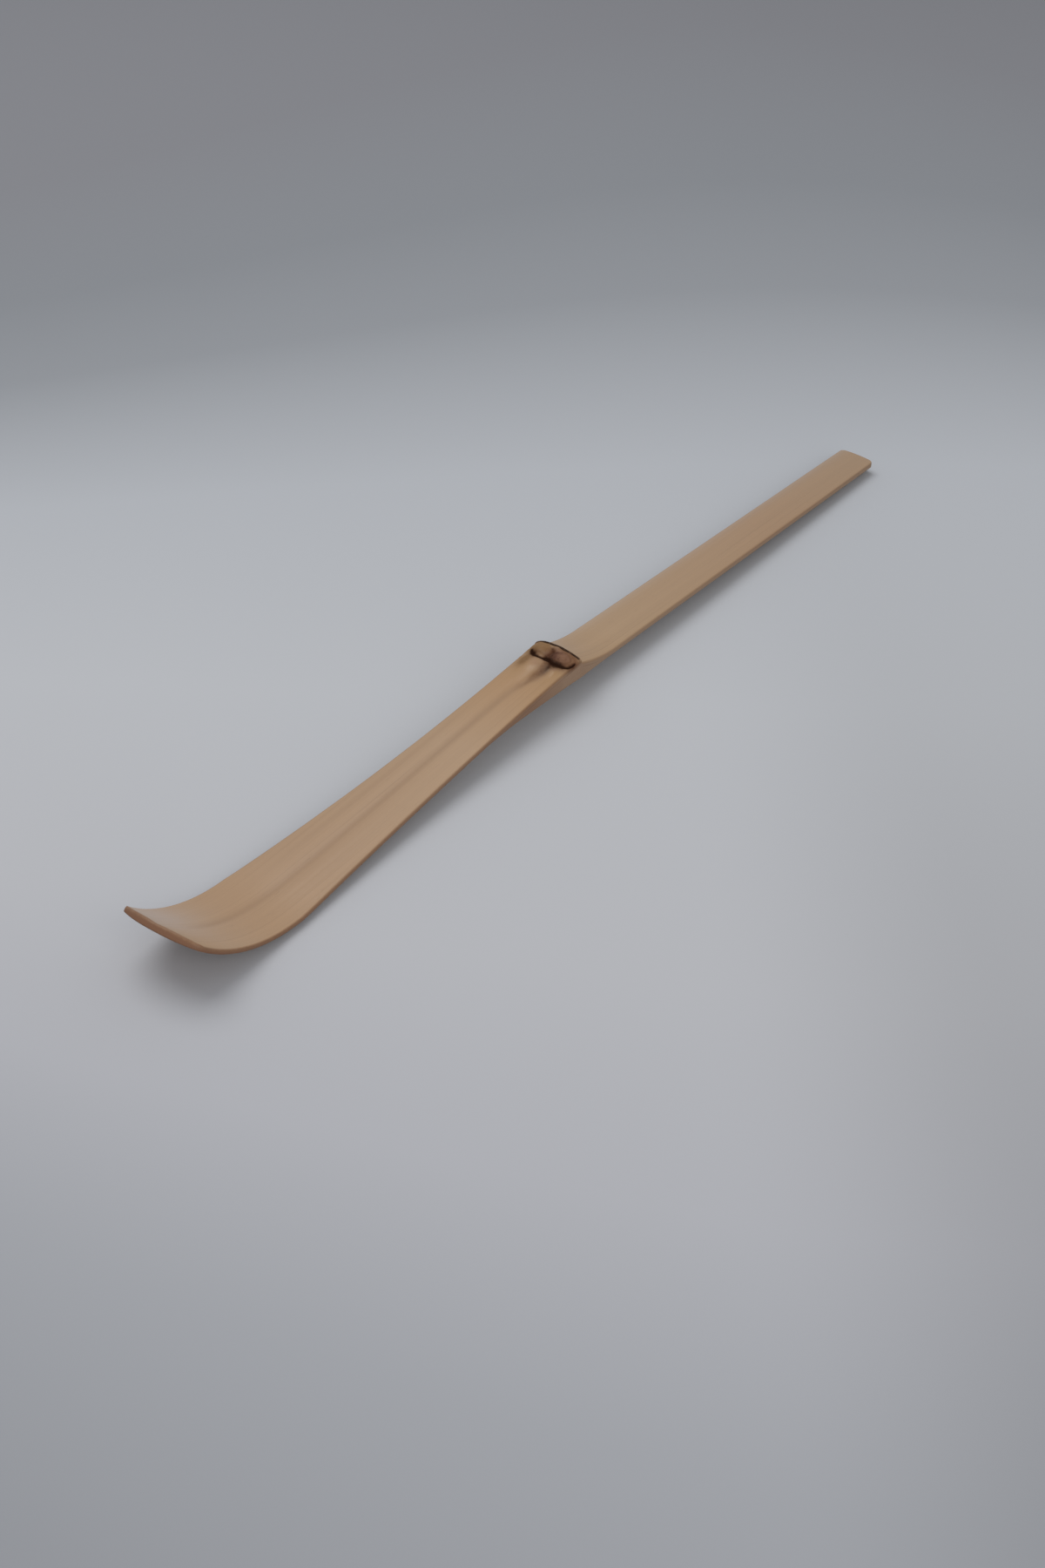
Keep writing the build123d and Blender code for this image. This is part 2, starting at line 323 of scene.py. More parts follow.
# the whittled underside: a flat with a bevel each side, cut in long shallow scallops
def underAt(s, y):
    size = section(s)
    slope = (size["thickness"] - size["edge"]) / (size["half"] - size["flat"] / 2)
    softened = smooth(*whittling["softenAlong"], s)
    softness = mixed(strip["facetSoftness"], strip["tipFacetSoftness"], softened)
    bevel = slope * eased(np.abs(y) - size["flat"] / 2, softness)
    cut = y / whittling["width"] + whittling["drift"] * ripple(s, y, whittling["driftWave"])
    uneven = whittling["least"] + whittling["swing"] * ripple(s, y, whittling["depthWave"])
    scallop = np.clip(whittling["depth"] * np.abs(np.sin(np.pi * cut)) * uneven, 0, None)
    return -size["thickness"] + bevel + scallop * (1 - smooth(*whittling["endAlong"], s))


# how far the tip's end stands back at a share v of the half width: a parabola, and near each corner
# a quarter circle more
def setBack(v):
    sag = np.where(v > 0, strip["tipLeftRound"], strip["tipRound"])
    corner = np.where(v > 0, strip["tipLeftCorner"], strip["tipCorner"])
    return sag * v ** 2 + corner * worn(1 - strip["tipWidth"] / 2 * (1 - np.abs(v)) / corner)


# how far a point on the top face lies behind the tip's end
def tipGap(s, y):
    return frontLength - setBack(np.clip(y / section(s)["half"], -1, 1)) - s


# how strokes, lines and edges turn into colour, painted sheen and painted shade among them: lengths in
# millimetres, and shares of the full tint; the edges' extra browning and shade is given as shares (share,
# from, to) along the strip, and the tip's sheen as a bell (s, y, s size, y size)
shading = dict(
    start=0.05, skinDepth=(0.25, 0.9),
    scarValley=0.35, scarFold=0.1, haloFold=0.25, haloCrease=0.8, haloPower=0.35,
    smudgeEnd=(4.4, 7.4), stainEnd=(6.0, 12.5),
    grooveWidth=0.6, grooveStart=(6, 12), grooveEnd=(72, 80),
    sideLine=2.9, sideWidth=0.5, sideShare=0.5, sideStart=(14, 24), sideEnd=(38, 70),
    edgeBrownAndShade=0.45, moreEdgeBrownAndShade=[(0.15, -3, 1), (0.25, 5, 13), (0.15, 56, 74)], edgeWidth=0.14, tipWidth=0.42,
    sheenEdge=0.5, sheenEdgeWidth=1.3, sheenEdgeEnd=(-12, -4), sheenTip=(79, 3.5, 5.0, 4.5))


# masks for the colours of the marks, zero to one over the plan; all but the browned edges with their painted
# shade fade with depth
def markMasks(s, y, depth):
    marks = marksAt(s, y)
    onTop = 1 - smooth(*shading["skinDepth"], depth)
    ring = shading["haloCrease"] * marks["crease"] ** shading["haloPower"]
    masks = dict(
        scar=marks["crease"] + shading["scarValley"] * marks["valley"] + shading["scarFold"] * marks["fold"],
        halo=marks["valley"] + shading["haloFold"] * marks["fold"] + ring,
        smudge=marks["smear"] * (1 - smooth(*shading["smudgeEnd"], s)),
        stain=marks["stain"] * (1 - smooth(*shading["stainEnd"], s)))
    for name, spots in tints.items():
        masks[name] = sum(strength * hump(s, y, *spot) for *spot, strength in spots)
    # painted shade in the groove along its line, and beside it on the left a faint streak in the skin's own
    # colour
    grooveShade = smooth(*shading["grooveStart"], s) * (1 - smooth(*shading["grooveEnd"], s))
    grooveShade = grooveShade * bell((y - grooveLine(s)) / shading["grooveWidth"])
    sidePath = smooth(*shading["sideStart"], s) * (1 - smooth(*shading["sideEnd"], s))
    sidePath = sidePath * bell((y - shading["sideLine"]) / shading["sideWidth"])
    masks["streak"] = grooveShade + shading["sideShare"] * sidePath
    shown = (s > shading["start"]) * onTop
    masks = {name: shown * np.clip(values, 0, 1) for name, values in masks.items()}
    half = section(s)["half"]
    # the side edges: a real browning with painted shade over it for the shaded side faces; with the tip's
    # real toasting it makes the toast mask
    edgeBrownAndShade = shading["edgeBrownAndShade"] + sum(more * smooth(low, high, s) for more, low, high in shading["moreEdgeBrownAndShade"])
    edge = edgeBrownAndShade * bell((half - np.abs(y)) / shading["edgeWidth"])
    masks["toast"] = np.maximum(bell(np.clip(tipGap(s, y), 0, None) / shading["tipWidth"]), edge)
    # the grey mask: a painted sheen along the handle's left edge and a painted reflection on the tip's left
    leftSheen = bell((half - y) / shading["sheenEdgeWidth"]) * (1 - smooth(*shading["sheenEdgeEnd"], s))
    masks["grey"] = (shading["sheenEdge"] * leftSheen + hump(s, y, *shading["sheenTip"])) * onTop
    return masks


print("strip laid out:", round(float(frontLength + strip["handleLength"]), 1), "mm along its face")

sharpAngle = 48  # degrees; faces that meet more sharply than this keep a hard edge


# puts points and quads into a mesh, with the grain's coordinates and the marks' masks as attributes
def makePiece(name, points, quads, s, y, depth):
    mesh = bpy.data.meshes.new(name)
    mesh.from_pydata(points.reshape(-1, 3).tolist(), [], quads.tolist())
    grain = mesh.attributes.new("grain", "FLOAT_VECTOR", "POINT")
    grain.data.foreach_set("vector", np.stack([s, y, depth], -1).astype(np.float32).ravel())
    for markName, values in markMasks(s, y, depth).items():
        mesh.attributes.new(markName, "FLOAT", "POINT").data.foreach_set("value", values.astype(np.float32))
    mesh.shade_smooth()
    mesh.set_sharp_from_angle(angle=np.radians(sharpAngle))
    mesh.update()
    piece = bpy.data.objects.new(name, mesh)
    bpy.context.scene.collection.objects.link(piece)
    return piece


# a slab: two sheets of heights over one plan grid, their borders joined by a wall of some rows
def slab(name, s, y, top, under, wallRows=2):
    rows, columns = s.shape
    index = np.arange(rows * columns).reshape(rows, columns)
    border = np.concatenate([index[0, :-1], index[:-1, -1], index[-1, :0:-1], index[:0:-1, 0]])
    sheet = np.stack([index[:-1, :-1], index[:-1, 1:], index[1:, 1:], index[1:, :-1]], -1).reshape(-1, 4)
    count = rows * columns
    down = np.linspace(0, 1, wallRows + 1)[1:-1, None]
    wallS = np.repeat(s.ravel()[border][None], wallRows - 1, 0)
    wallY = np.repeat(y.ravel()[border][None], wallRows - 1, 0)
    wallH = mixed(top.ravel()[border], under.ravel()[border], down)
    allS = np.concatenate([s.ravel(), s.ravel(), wallS.ravel()])
    allY = np.concatenate([y.ravel(), y.ravel(), wallY.ravel()])
    allH = np.concatenate([top.ravel(), under.ravel(), wallH.ravel()])
    between = 2 * count + np.arange(wallH.size).reshape(wallH.shape)
    loops = np.concatenate([border[None], between, count + border[None]])
    after = np.roll(loops, -1, 1)
    wall = np.stack([after[:-1], loops[:-1], loops[1:], after[1:]], -1).reshape(-1, 4)
    quads = np.concatenate([sheet, sheet[:, ::-1] + count, wall])
    return makePiece(name, place(allS, allY, allH), quads, allS, allY, crownAt(allS, allY) - allH)


# shares of the half width: even over the face, bunched as a quarter circle's sine near both edges
def across(piece):
    turn = np.sin(np.linspace(0, np.pi / 2, piece["edgeSteps"] + 1))[1:]
    face = 1 - piece["edgeShare"]
    side = face + piece["edgeShare"] * turn
    return np.concatenate([-side[::-1], np.linspace(-face, face, piece["acrossCount"]), side])[None, :]


# distances to an end, bunched towards it as a quarter circle's sine over the last stretch
def towardsEnd(reach, steps=7):
    return reach * (1 - np.sin(np.linspace(0, np.pi / 2, steps + 1)))


# how deep the wear is at the side edges and at a free end: a quarter circle of this radius
def wear(s, y, radius, endGap=np.inf):
    sideReach = np.clip(1 - (section(s)["half"] - np.abs(y)) / radius, 0, 1)
    endReach = np.clip(1 - endGap / radius, 0, 1)
    return radius * worn(np.hypot(sideReach, endReach))


# the handle: from the butt, whose rows lean to the slanting cut over the shear's length, to the rim
handle = dict(
    acrossCount=64, edgeShare=0.075, edgeSteps=7, straightSteps=140, flareSteps=44,
    buttRound=0.3, shearLength=9.0)
hair = 1e-6  # keeps the handle's last row and the node's first on their own sides of the rim


def makeHandle():
    butt = -strip["handleLength"]
    start = butt + towardsEnd(handle["buttRound"])[::-1][:-1]
    straight = np.linspace(butt + handle["buttRound"], -strip["flareLength"], handle["straightSteps"])[:-1]
    sweep = np.linspace(-strip["flareLength"], -hair, handle["flareSteps"])
    t, v = np.broadcast_arrays(np.concatenate([start, straight, sweep])[:, None], across(handle))
    gap = t - butt
    s = t - buttReach(v) * np.clip(1 - gap / handle["shearLength"], 0, 1) ** 2
    y = v * section(s)["half"]
    top = topAt(s, y) - wear(s, y, strip["edgeRound"], gap)
    under = underAt(s, y) + wear(s, y, strip["underRound"], gap)
    skin = slab("handleSkin", s, y, top, seamAt(s, y))
    flesh = slab("handleFlesh", s, y, seamAt(s, y), under, wallRows=6)
    return skin, flesh


# the blade: from the node's band to the tip, whose end stands back towards its corners
blade = dict(
    acrossCount=96, edgeShare=0.05, edgeSteps=7, nodeSteps=90, nodeReach=14.0, straightSteps=120,
    bendSteps=90, tipRound=0.24)


def makeBlade():
    near = np.linspace(strip["nodeBand"], blade["nodeReach"], blade["nodeSteps"])[:-1]
    far = np.linspace(blade["nodeReach"], strip["bladeLength"], blade["straightSteps"])[:-1]
    bend = np.linspace(strip["bladeLength"], frontLength - blade["tipRound"], blade["bendSteps"])[:-1]
    end = frontLength - towardsEnd(blade["tipRound"])
    t, v = np.broadcast_arrays(np.concatenate([near, far, bend, end])[:, None], across(blade))
    shear = np.clip((t - strip["shearFrom"]) / (frontLength - strip["shearFrom"]), 0, 1) ** 2
    s = t - setBack(v) * shear
    y = v * section(s)["half"]
    gap = frontLength - t
    top = topAt(s, y) - wear(s, y, strip["edgeRound"], gap)
    under = underAt(s, y) + wear(s, y, strip["underRound"], gap)
    skin = slab("bladeSkin", s, y, top, seamAt(s, y))
    flesh = slab("bladeFlesh", s, y, seamAt(s, y), under, wallRows=4)
    return skin, flesh


# the node between the two lengths of culm, its shoulders rounder near the rim
node = dict(acrossCount=120, edgeShare=0.1, edgeSteps=10, steps=110, shoulderFrom=1.0)


def makeNode():
    rows = np.linspace(hair, strip["nodeBand"], node["steps"])[:, None]
    s, v = np.broadcast_arrays(rows, across(node))
    y = v * section(s)["half"]
    shoulder = np.where(y > 0, strip["nodeLeftRound"], strip["nodeRound"])
    radius = mixed(strip["edgeRound"], shoulder, 1 - smooth(node["shoulderFrom"], strip["nodeBand"], s))
    top = topAt(s, y) - wear(s, y, radius)
    under = underAt(s, y) + wear(s, y, strip["underRound"])
    return slab("nodeWall", s, y, top, under, wallRows=10)


# the sheath rim: a thin arched ridge over the node's back edge, thinner towards the right, where its foot
# draws in and sinks away
rim = dict(
    width=0.36, rightWidth=0.28, thinFrom=0.2, proud=0.1, leastRidge=0.25, sunk=0.4,
    overhang=0.02, foot=(-0.985, -0.9), footInset=-0.06, footSink=-0.03, wearShare=0.992,
    wobble=0.05, wobbleWave=(9, 0, 41), swing=0.1, swingWave=(16, 1, 42),
    acrossCount=110, edgeShare=0.12, edgeSteps=10, steps=14)


def makeRim():
    u, v = np.broadcast_arrays(np.linspace(0, 1, rim["steps"])[:, None], across(rim))
    width = mixed(rim["width"], rim["rightWidth"], smooth(rim["thinFrom"], 1, -v))
    s = u * width * (1 + rim["wobble"] * ripple(v, v, rim["wobbleWave"]))
    standing = smooth(*rim["foot"], v)
    y = v * (section(s)["half"] + mixed(rim["footInset"], rim["overhang"], standing))
    radius = np.where(y > 0, strip["nodeLeftRound"], strip["nodeRound"])
    level = crownAt(s, y) - wear(s, y * rim["wearShare"], radius)
    arch = np.sqrt(np.clip(1 - (2 * u - 1) ** 2, 0, 1))
    ridge = rim["proud"] * mixed(rim["leastRidge"], 1, arch)
    ridge = ridge * (1 + rim["swing"] * ripple(v, u, rim["swingWave"]))
    ridge = mixed(rim["footSink"], ridge, standing)
    return slab("sheathRim", s, y, level + ridge, level - rim["sunk"], wallRows=3)


# the bud scar: an oval lump with wrinkles along it, pressed into the band
bud = dict(
    sMiddle=1.88, yMiddle=-1.75, sHalf=1.36, yHalf=1.72, count=72,
    height=0.36, domePower=1.6, tuck=0.03, tuckPower=3, settle=0.6, seat=0.5, borderDepth=0.16,
    raggedness=0.07, raggedWave=(3.5, 3.5, 52),
    wrinkle=0.065, wrinklePower=0.4, wrinkleWave=(5.5, 1.6, 51), fineShare=0.5, fineWave=(9, 6, 53))


# the square grid is drawn onto an oval, each side bulging by the other's square, with a ragged outline that
# lies flush with the band
def makeBud():
    side = np.linspace(-1, 1, bud["count"])
    a, b = np.meshgrid(side, side, indexing="ij")
    p = a * np.sqrt(1 - b * b / 2)
    q = b * np.sqrt(1 - a * a / 2)
    ragged = 1 + bud["raggedness"] * ripple(p, q, bud["raggedWave"])
    s = bud["sMiddle"] + bud["sHalf"] * p * ragged
    y = bud["yMiddle"] + bud["yHalf"] * q * ragged
    dome = np.clip(1 - p * p - q * q, 0, 1)
    bump = bud["height"] * dome ** bud["domePower"] - bud["tuck"] * (1 - dome) ** bud["tuckPower"]
    wrinkles = ripple(s, y, bud["wrinkleWave"]) + bud["fineShare"] * ripple(s, y, bud["fineWave"])
    bump = bump + bud["wrinkle"] * wrinkles * dome ** bud["wrinklePower"]
    level = crownAt(s, y) + knuckleRelief(s, y) * (1 - smooth(0, bud["settle"], dome))
    return slab("budKnot", s, y, level + bump, level - bud["borderDepth"] - bud["seat"] * dome)


handleSkin, handleFlesh = makeHandle()
bladeSkin, bladeFlesh = makeBlade()
nodeWall, sheathRim, budKnot = makeNode(), makeRim(), makeBud()
for piece in (handleSkin, handleFlesh, bladeSkin, bladeFlesh, nodeWall, sheathRim, budKnot):
    print("made", piece.name, "with", len(piece.data.polygons), "faces")


# a shader value: arithmetic on it adds Math nodes, and node() adds any other node
class Wire:
    def __init__(self, tree, socket=None):
        self.tree = tree
        self.socket = socket

    def node(self, kind, settings=None, sockets=None, out=0):
        made = self.tree.nodes.new("ShaderNode" + kind)
        for key, value in (settings or {}).items():
            if key == "stops":
                fillRamp(made.color_ramp, value)
            else:
                setattr(made, key, value)
        for key, value in (sockets or {}).items():
            if isinstance(value, Wire):
                self.tree.links.new(value.socket, made.inputs[key])
            else:
                made.inputs[key].default_value = value
        return Wire(self.tree, made.outputs[out])

    def maths(self, operation, *values):
        return self.node("Math", {"operation": operation}, dict(enumerate(values)))

    def __add__(self, other):
        return self.maths("ADD", self, other)

    def __sub__(self, other):
        return self.maths("SUBTRACT", self, other)

    def __rsub__(self, other):
        return self.maths("SUBTRACT", other, self)

    def __mul__(self, other):
        return self.maths("MULTIPLY", self, other)

    def __truediv__(self, other):
        return self.maths("DIVIDE", self, other)

    __radd__ = __add__
    __rmul__ = __mul__

    def smooth(self, low, high):
        span = {"Value": self, "From Min": low, "From Max": high}
        return self.node("MapRange", {"interpolation_type": "SMOOTHSTEP"}, span)


def fillRamp(ramp, stops):
    while len(ramp.elements) < len(stops):
        ramp.elements.new(0.5)
    for element, (position, colour) in zip(ramp.elements, stops):
        element.position = position
        element.color = colour


# a colour written as on screen, 0 to 255, in the linear values that the shader takes
def tone(red, green, blue):
    share = np.array([red, green, blue]) / 255
    linear = np.where(share <= 0.04045, share / 12.92, ((share + 0.055) / 1.055) ** 2.4)
    return (*linear.tolist(), 1.0)


def blended(wire, start, end, factor):
    return wire.node("Mix", {"data_type": "RGBA"}, {0: factor, 6: start, 7: end}, out=2)


# a ramp through tones, each given with the value that it stands at
def toneRamp(wire, value, tones):
    low, high = tones[0][0], tones[-1][0]
    stops = [((at - low) / (high - low), tone(*colour)) for at, colour in tones]
    return wire.node("ValToRGB", {"stops": stops}, {0: (value - low) / (high - low)})


def startMaterial(name):
    material = bpy.data.materials.new(name)
    material.use_nodes = True
    tree = material.node_tree
    shader = tree.nodes["Principled BSDF"]
    return material, Wire(tree), shader


# one of the grain's coordinates: X along the strip, Y across it, Z the depth below the top face
def grainPart(wire, axis):
    grain = wire.node("Attribute", {"attribute_name": "grain"}, out="Vector")
    return wire.node("SeparateXYZ", None, {0: grain}, out=axis)


# the grain's coordinates stretched along the strip: per millimetre along, and per millimetre across
def grainVector(wire, along, acrossScale):
    grain = wire.node("Attribute", {"attribute_name": "grain"}, out="Vector")
    scale = {0: grain, 1: (along, acrossScale, acrossScale)}
    return wire.node("VectorMath", {"operation": "MULTIPLY"}, scale)


noiseMean = 0.5


def noise(wire, along, acrossScale, detail=2.0, rough=0.5):
    vector = grainVector(wire, along, acrossScale)
    sockets = {"Vector": vector, "Scale": 1.0, "Detail": detail, "Roughness": rough}
    return wire.node("TexNoise", {"noise_dimensions": "3D"}, sockets)


def mask(wire, name):
    return wire.node("Attribute", {"attribute_name": name}, out="Fac")


# bamboo: skin on top and flesh below it, fibre bundles that run along the strip and show as dots on a cut;
# noises are given per millimetre along and across, then detail and roughness
bamboo = dict(
    skinAlong=[(-98, (158, 131, 103)), (-60, (162, 132, 103)), (-12, (169, 141, 111)), (2, (164, 133, 100)),
               (10, (168, 134, 99)), (26, (173, 144, 115)), (56, (169, 139, 110)), (70, (171, 140, 110)),
               (82, (173, 144, 115))],
    flesh=(166, 141, 116), fleshDark=(138, 111, 87), fleshDarkShare=0.55, skinToFlesh=(0.24, 0.5),
    toasted=(142, 104, 78), toastAlong=(70.0, 81.5),
    scar=(34, 19, 13), halo=(80, 49, 35), smudge=(66, 43, 30), stain=(112, 80, 57), russet=(110, 76, 55),
    # the pale tone is partly a painted highlight
    lobe=(132, 101, 68), umber=(120, 90, 61), golden=(160, 125, 85), pale=(154, 120, 98),
    # the streak tone is partly painted shade in the groove, the toast tone partly painted shade along the
    # side edges, and the grey tone a painted sheen
    streak=(142, 113, 87), toast=(122, 86, 63), grey=(178, 163, 153),
    strengths=dict(grey=0.5, golden=0.6, streak=0.4, toast=0.75, umber=0.8, lobe=0.85, russet=0.85, pale=0.6,
                   stain=0.85, halo=0.85, smudge=1.0),
    glossy=("grey", "golden", "streak"),
    bands=(0.012, 0.55, 1.5), bandContrast=0.12,
    fibres=(0.05, 8.0, 3.0, 0.6), fibreContrast=0.17,
    flecks=(0.55, 6.5, 1.0), fleckEdge=(0.64, 0.78), fleckContrast=0.08,
    bundles=(0.007, 2.3), bundleEdge=(0.06, 0.26), bundleContrast=0.09,
    patches=(2.4, 2.8, 3.0, 0.65), patchLeast=0.75, patchSwing=0.5,
    markDulls=0.85, scarSwing=0.5, scarEdge=(0.12, 0.95), scarShare=0.93)


def bambooColour(wire):
    s = grainPart(wire, "X")
    skin = toneRamp(wire, s, bamboo["skinAlong"])
    bands = noise(wire, *bamboo["bands"])
    fibres = noise(wire, *bamboo["fibres"])
    flecks = noise(wire, *bamboo["flecks"]).smooth(*bamboo["fleckEdge"])
    cells = {"Vector": grainVector(wire, *bamboo["bundles"]), "Scale": 1.0}
    bundles = 1 - wire.node("TexVoronoi", {"feature": "F1"}, cells).smooth(*bamboo["bundleEdge"])
    toast = s.smooth(*bamboo["toastAlong"])
    flesh = blended(wire, tone(*bamboo["flesh"]), tone(*bamboo["toasted"]), toast)
    flesh = blended(wire, flesh, tone(*bamboo["fleshDark"]), bundles * bamboo["fleshDarkShare"])
    colour = blended(wire, skin, flesh, grainPart(wire, "Z").smooth(*bamboo["skinToFlesh"]))
    shade = 1 + (bands - noiseMean) * bamboo["bandContrast"] + (fibres - noiseMean) * bamboo["fibreContrast"]
    shade = shade - bundles * bamboo["bundleContrast"] - flecks * bamboo["fleckContrast"]
    grey = wire.node("CombineXYZ", None, {0: shade, 1: shade, 2: shade})
    return wire.node("VectorMath", {"operation": "MULTIPLY"}, {0: colour, 1: grey}), fibres, bundles


# the marks over a colour, pale ones first and the black crease last, all a little uneven, among them painted
# sheen, a painted highlight and painted shade; also how much of the gloss they leave
def withMarks(wire, colour, names):
    patches = noise(wire, *bamboo["patches"])
    uneven = bamboo["patchLeast"] + patches * bamboo["patchSwing"]
    gloss = 1.0
    for name in names:
        factor = mask(wire, name) * uneven * bamboo["strengths"][name]
        colour = blended(wire, colour, tone(*bamboo[name]), factor)
        if name not in bamboo["glossy"]:
            gloss = gloss * (1 - factor * bamboo["markDulls"])
    burnt = mask(wire, "scar") + (patches - noiseMean) * bamboo["scarSwing"]
    burnt = burnt.smooth(*bamboo["scarEdge"])
    return blended(wire, colour, tone(*bamboo["scar"]), burnt * bamboo["scarShare"]), gloss * (1 - burnt)


bumpStrength = 0.5


# links what varies to the shader; the bump's depth is in millimetres
def finish(wire, shader, colour, roughness, height, bumpDepth):
    bump = {"Height": height, "Strength": bumpStrength, "Distance": bumpDepth * mm}
    links = {"Base Color": colour, "Roughness": roughness, "Normal": wire.node("Bump", None, bump)}
    for name, value in links.items():
        wire.tree.links.new(value.socket, shader.inputs[name])


# skin and node: the gloss is a coat, uneven with the fibres, that the dark marks lack
coated = dict(
    skinRough=0.46, skinBump=0.02, nodeRough=0.5, nodeBump=0.025, roughSwing=0.14,
    fibreHeight=0.7, bundleDepth=0.5, coat=0.75, coatMost=1.15, coatSwing=0.3, coatRoughness=0.27,
    specular=0.0)


def makeCoatedMaterial(name, rough, bumpDepth):
    material, wire, shader = startMaterial(name)
    colour, fibres, bundles = bambooColour(wire)
    colour, gloss = withMarks(wire, colour, bamboo["strengths"])
    height = fibres * coated["fibreHeight"] - bundles * coated["bundleDepth"]
    finish(wire, shader, colour, rough + fibres * coated["roughSwing"], height, bumpDepth)
    coat = gloss * coated["coat"] * (coated["coatMost"] - fibres * coated["coatSwing"])
    wire.tree.links.new(coat.socket, shader.inputs["Coat Weight"])
    shader.inputs["Coat Roughness"].default_value = coated["coatRoughness"]
    shader.inputs["Specular IOR Level"].default_value = coated["specular"]
    return material


# flesh: raw and matt, browned along its edges, partly as painted shade
rawFlesh = dict(rough=0.52, roughSwing=0.18, bundleDepth=0.8, bump=0.035, toastShare=0.85, specular=0.3)


def makeFleshMaterial():
    material, wire, shader = startMaterial("bambooFlesh")
    colour, fibres, bundles = bambooColour(wire)
    colour = blended(wire, colour, tone(*bamboo["toast"]), mask(wire, "toast") * rawFlesh["toastShare"])
    rough = rawFlesh["rough"] + fibres * rawFlesh["roughSwing"]
    height = fibres - bundles * rawFlesh["bundleDepth"]
    finish(wire, shader, colour, rough, height, rawFlesh["bump"])
    shader.inputs["Specular IOR Level"].default_value = rawFlesh["specular"]
    return material


# the rim: nearly black, worn brown in patches and at its left end, bare at its right foot
# the edges of both ends are in millimetres from the strip's middle
sheath = dict(
    dark=(56, 41, 31), worn=(98, 73, 56), end=(112, 82, 62), foot=(148, 120, 94),
    patches=(1.6, 1.8, 3.0, 0.6), wornEdge=(0.45, 0.75), endEdge=(2.4, 3.9), endShare=0.7,
    footEdge=(3.7, 4.0), rough=0.6, roughSwing=0.2, bump=0.05, specular=0.05)


def makeSheathMaterial():
    material, wire, shader = startMaterial("sheathScar")
    y = grainPart(wire, "Y")
    patches = noise(wire, *sheath["patches"])
    colour = blended(wire, tone(*sheath["dark"]), tone(*sheath["worn"]), patches.smooth(*sheath["wornEdge"]))
    end = (y + patches - noiseMean).smooth(*sheath["endEdge"]) * sheath["endShare"]
    colour = blended(wire, colour, tone(*sheath["end"]), end)
    colour = blended(wire, colour, tone(*sheath["foot"]), (0 - y).smooth(*sheath["footEdge"]))
    finish(wire, shader, colour, sheath["rough"] + patches * sheath["roughSwing"], patches, sheath["bump"])
    shader.inputs["Specular IOR Level"].default_value = sheath["specular"]
    return material


# the bud scar: red-brown in soft patches, lighter over its right half, its foot fading into the band, whose
# dark marks run on over it
budTone = dict(
    middle=(88, 56, 42), light=(127, 93, 72), fleck=(76, 46, 34), foot=(114, 81, 59),
    patches=(1.2, 1.2, 3.0, 0.62), fine=(3.0, 4.5, 2.0), lightSwing=1.6, lightEdge=(0.6, 2.1),
    fleckEdge=(0.48, 0.68), fleckShare=0.6, footDepth=(-0.16, 0.0), marks=("pale", "halo"),
    rough=0.5, roughSwing=0.2, fineHeight=0.5, bump=0.06, specular=0.1)


def makeBudMaterial():
    material, wire, shader = startMaterial("budScar")
    patches = noise(wire, *budTone["patches"])
    fine = noise(wire, *budTone["fine"])
    right = (patches - noiseMean) * budTone["lightSwing"] - grainPart(wire, "Y")
    right = right.smooth(*budTone["lightEdge"])
    flecks = (1 - patches).smooth(*budTone["fleckEdge"]) * budTone["fleckShare"]
    foot = grainPart(wire, "Z").smooth(*budTone["footDepth"])
    colour = blended(wire, tone(*budTone["middle"]), tone(*budTone["light"]), right)
    colour = blended(wire, colour, tone(*budTone["fleck"]), flecks)
    colour = blended(wire, colour, tone(*budTone["foot"]), foot)
    colour = withMarks(wire, colour, budTone["marks"])[0]
    height = patches + fine * budTone["fineHeight"]
    finish(wire, shader, colour, budTone["rough"] + fine * budTone["roughSwing"], height, budTone["bump"])
    shader.inputs["Specular IOR Level"].default_value = budTone["specular"]
    return material


materials = dict(
    bamboo_skin=makeCoatedMaterial("bambooSkin", coated["skinRough"], coated["skinBump"]),
    bamboo_flesh=makeFleshMaterial(),
    bamboo_node=makeCoatedMaterial("bambooNode", coated["nodeRough"], coated["nodeBump"]),
    sheath_scar=makeSheathMaterial(), bud_scar=makeBudMaterial())
print("materials made:", ", ".join(materials))

# each piece stands for one node of the frame
standsFor = [
    (handleSkin, "handle_skin", "bamboo_skin"), (handleFlesh, "handle_flesh", "bamboo_flesh"),
    (nodeWall, "node_wall", "bamboo_node"), (sheathRim, "sheath_rim", "sheath_scar"),
    (budKnot, "bud_knot", "bud_scar"), (bladeFlesh, "blade_flesh", "bamboo_flesh"),
    (bladeSkin, "blade_skin", "bamboo_skin")]
for piece, nodeName, slotName in standsFor:
    piece.data.materials.append(materials[slotName])
    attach(piece, "root")
    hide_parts(nodeName)

# the camera: place, lens and sensor in millimetres, turns in degrees, as the photograph was taken
view = dict(
    place=(-192.147, -123.177, 138.411), yaw=35.065, pitch=35.185, roll=-1.124,
    lens=40.045, sensor=36.0, clipStart=10.0)


# the view's right, down and ahead: ahead from yaw and pitch, the other two turned about it by the roll
def viewAxes():
    yaw, pitch, roll = np.radians([view["yaw"], view["pitch"], view["roll"]])
    ahead = Vector((np.cos(yaw) * np.cos(pitch), np.sin(yaw) * np.cos(pitch), -np.sin(pitch)))
    level = ahead.cross(Vector((0, 0, 1))).normalized()
    down = ahead.cross(level)
    right = level * np.cos(roll) + down * np.sin(roll)
    return right, ahead.cross(right), ahead


def makeCamera():
    right, down, ahead = viewAxes()
    lens = bpy.data.cameras.new("camera")
    lens.sensor_fit = "VERTICAL"
    lens.sensor_height = view["sensor"]
    lens.lens = view["lens"]
    lens.clip_start = view["clipStart"] * mm
    camera = bpy.data.objects.new("camera", lens)
    turn = Matrix((right, -down, -ahead)).transposed().to_4x4()
    camera.matrix_world = Matrix.Translation(Vector(view["place"]) * mm) @ turn
    bpy.context.scene.collection.objects.link(camera)
    bpy.context.scene.camera = camera


makeCamera()
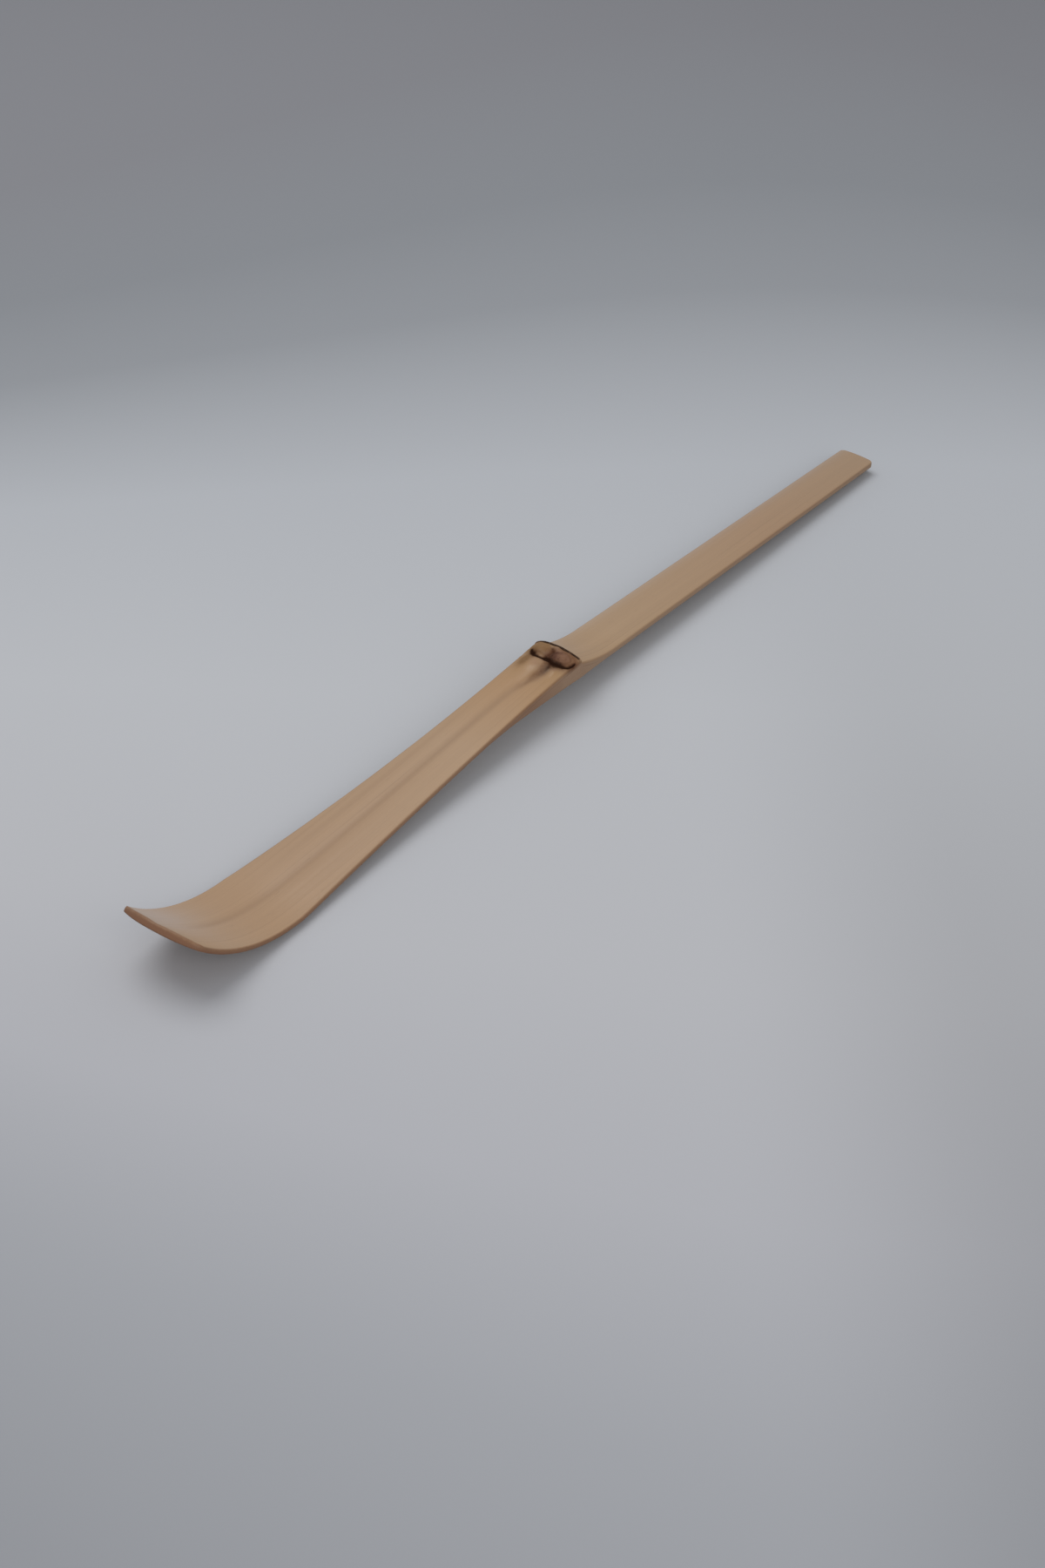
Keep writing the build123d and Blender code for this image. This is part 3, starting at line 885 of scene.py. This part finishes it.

# the floor, in metres: pale grey, with painted shade darkening it towards the back, a little towards the
# front and at the front's right; far out it turns as pale as the sky
ground = dict(
    half=8.0, skew=-2.3, bow=20.0, sideMost=0.15,
    rightShade=0.22, shadeSide=(0.012, 0.05), shadeAlong=(-0.15, 0.1),
    far=(251, 251, 252), farEdge=(0.75, 2.2), rough=0.9, specular=0.1,
    tones=[(-0.17, (153, 155, 160)), (-0.135, (166, 168, 173)), (-0.105, (181, 182, 187)),
           (-0.07, (187, 188, 192)), (-0.01, (189, 191, 195)), (0.07, (181, 184, 189)),
           (0.11, (168, 171, 176)), (0.16, (149, 152, 157)), (0.24, (139, 142, 147)),
           (0.42, (136, 137, 142))])


# tones run along the view's level direction, skewed and bowed to the sides
def makeFloor():
    half = ground["half"]
    corners = [(-half, -half, 0), (half, -half, 0), (half, half, 0), (-half, half, 0)]
    mesh = bpy.data.meshes.new("floor")
    mesh.from_pydata(corners, [], [(0, 1, 2, 3)])
    floor = bpy.data.objects.new("floor", mesh)
    bpy.context.scene.collection.objects.link(floor)
    material, wire, shader = startMaterial("floorPaper")
    ahead = viewAxes()[2]
    flat = Vector((ahead.x, ahead.y, 0)).normalized()
    spot = wire.node("TexCoord", None, None, out="Object")
    dot = {"operation": "DOT_PRODUCT"}
    along = wire.node("VectorMath", dot, {0: spot, 1: flat}, out="Value")
    side = wire.node("VectorMath", dot, {0: spot, 1: (flat.y, -flat.x, 0)}, out="Value")
    side = wire.maths("MINIMUM", wire.maths("MAXIMUM", side, -ground["sideMost"]), ground["sideMost"])
    dim = side.smooth(*ground["shadeSide"]) * (1 - along.smooth(*ground["shadeAlong"]))
    bowed = along * (1 + side * ground["skew"] + side * side * ground["bow"])
    colour = toneRamp(wire, bowed, ground["tones"])
    colour = blended(wire, colour, tone(0, 0, 0), dim * ground["rightShade"])
    away = wire.node("VectorMath", {"operation": "LENGTH"}, {0: spot}, out="Value")
    colour = blended(wire, colour, tone(*ground["far"]), away.smooth(*ground["farEdge"]))
    wire.tree.links.new(colour.socket, shader.inputs["Base Color"])
    shader.inputs["Roughness"].default_value = ground["rough"]
    shader.inputs["Specular IOR Level"].default_value = ground["specular"]
    mesh.materials.append(material)


makeFloor()

# soft light, in metres and watts: a wide lamp overhead to the left, a weaker one low on the right,
# and an even sky
light = dict(
    overhead=dict(place=(0.05, 0.38, 0.88), size=0.8, power=4.1),
    low=dict(place=(-0.45, -0.75, 0.42), size=0.8, power=2.8),
    aim=(-0.01, 0, 0), sky=0.46, skyColour=(0.97, 0.98, 1.0, 1.0))


def makeLight():
    for name in ("overhead", "low"):
        lamp = bpy.data.lights.new(name, "AREA")
        lamp.shape = "DISK"
        lamp.size = light[name]["size"]
        lamp.energy = light[name]["power"]
        lampObject = bpy.data.objects.new(name, lamp)
        turn = (Vector(light["aim"]) - Vector(light[name]["place"])).to_track_quat("-Z", "Y")
        lampObject.matrix_world = Matrix.Translation(light[name]["place"]) @ turn.to_matrix().to_4x4()
        bpy.context.scene.collection.objects.link(lampObject)
    world = bpy.data.worlds.new("sky")
    world.use_nodes = True
    sky = world.node_tree.nodes["Background"]
    sky.inputs["Color"].default_value = light["skyColour"]
    sky.inputs["Strength"].default_value = light["sky"]
    bpy.context.scene.world = world


makeLight()
bpy.context.scene.view_settings.view_transform = "Standard"
print("camera, floor and light set")
